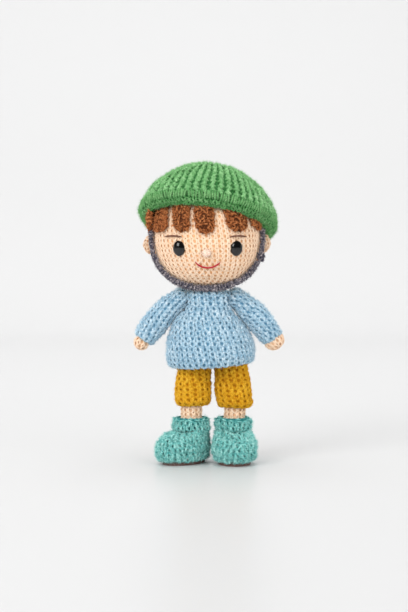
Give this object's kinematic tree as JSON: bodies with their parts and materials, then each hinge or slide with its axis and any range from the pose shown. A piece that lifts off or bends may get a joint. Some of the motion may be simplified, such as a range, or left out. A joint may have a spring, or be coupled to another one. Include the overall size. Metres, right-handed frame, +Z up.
{
  "type": "crocheted doll",
  "caption": "Crocheted standing doll with a beret, short hair, a chin strap, a flared tunic, shorts and puffy boots; its head, arms, legs and boots turn and the beret lifts off.",
  "frame": {"origin": "on the floor, under the middle of the doll's overall box, standing with its arms held out", "axes": "+Z up, the doll faces -Y, and +X is the doll's own left"},
  "size_m": [0.0814, 0.0692, 0.163],
  "materials": {
    "skin_yarn": "matte",
    "hair_yarn": "matte",
    "beret_yarn": "matte",
    "strap_yarn": "matte",
    "tunic_yarn": "matte",
    "shorts_yarn": "matte",
    "boot_yarn": "matte",
    "sole_felt": "matte",
    "eye_gloss": "gloss",
    "washer_plastic": "matte",
    "mouth_thread": "satin",
    "brow_thread": "matte",
    "dowel_wood": "matte",
    "body_yarn": "matte",
    "joint_thread": "matte"
  },
  "bodies": {
    "torso": {"torso": "body_yarn", "neck_dowel": "dowel_wood", "shoulder_thread": "joint_thread", "hip_thread": "joint_thread", "sweater_body": "tunic_yarn", "shorts_hips": "shorts_yarn"},
    "head": {"head": "skin_yarn", "nose": "skin_yarn", "mouth": "mouth_thread", "eyebrow_left": "brow_thread", "eyebrow_right": "brow_thread", "eye_left": "eye_gloss", "eye_right": "eye_gloss", "eye_washer_left": "washer_plastic", "eye_washer_right": "washer_plastic", "ear_left": "skin_yarn", "ear_right": "skin_yarn", "hair_cap": "hair_yarn", "bang_1": "hair_yarn", "bang_2": "hair_yarn", "bang_3": "hair_yarn", "bang_4": "hair_yarn", "bang_5": "hair_yarn", "chin_strap": "strap_yarn", "chin_strap_knot": "strap_yarn"},
    "beret": {"beret_band": "beret_yarn", "beret_crown": "beret_yarn"},
    "arm_left": {"arm_left": "skin_yarn", "sleeve_left": "tunic_yarn"},
    "arm_right": {"arm_right": "skin_yarn", "sleeve_right": "tunic_yarn"},
    "leg_left": {"leg_left": "skin_yarn", "shorts_leg_left": "shorts_yarn"},
    "leg_right": {"leg_right": "skin_yarn", "shorts_leg_right": "shorts_yarn"},
    "boot_left": {"boot_left": "boot_yarn", "boot_cuff_left": "boot_yarn", "sole_left": "sole_felt"},
    "boot_right": {"boot_right": "boot_yarn", "boot_cuff_right": "boot_yarn", "sole_right": "sole_felt"}
  },
  "joints": [
    {"name": "head_turn", "type": "hinge", "parent": "torso", "child": "head", "pos_m": [-0.0008, -0.005, 0.101], "axis": [0, 0, 1], "range_deg": [-45, 45]},
    {"name": "beret_lift", "type": "slide", "parent": "head", "child": "beret", "axis": [0, 0, 1], "range_m": [0, 0.06]},
    {"name": "arm_swing_left", "type": "hinge", "parent": "torso", "child": "arm_left", "pos_m": [0.015, -0.005, 0.0899], "axis": [-1, 0, 0], "range_deg": [-45, 100]},
    {"name": "arm_swing_right", "type": "hinge", "parent": "torso", "child": "arm_right", "pos_m": [-0.015, -0.005, 0.0899], "axis": [-1, 0, 0], "range_deg": [-45, 100]},
    {"name": "leg_swing_left", "type": "hinge", "parent": "torso", "child": "leg_left", "pos_m": [0.0115, -0.005, 0.059], "axis": [-1, 0, 0], "range_deg": [-22, 22]},
    {"name": "leg_swing_right", "type": "hinge", "parent": "torso", "child": "leg_right", "pos_m": [-0.0075, -0.005, 0.059], "axis": [-1, 0, 0], "range_deg": [-22, 22]},
    {"name": "boot_turn_left", "type": "hinge", "parent": "leg_left", "child": "boot_left", "pos_m": [0.0136, -0.005, 0.009], "axis": [0, 0, 1], "range_deg": [-8, 40]},
    {"name": "boot_turn_right", "type": "hinge", "parent": "leg_right", "child": "boot_right", "pos_m": [-0.0094, -0.005, 0.009], "axis": [0, 0, -1], "range_deg": [-30, 20]}
  ]
}
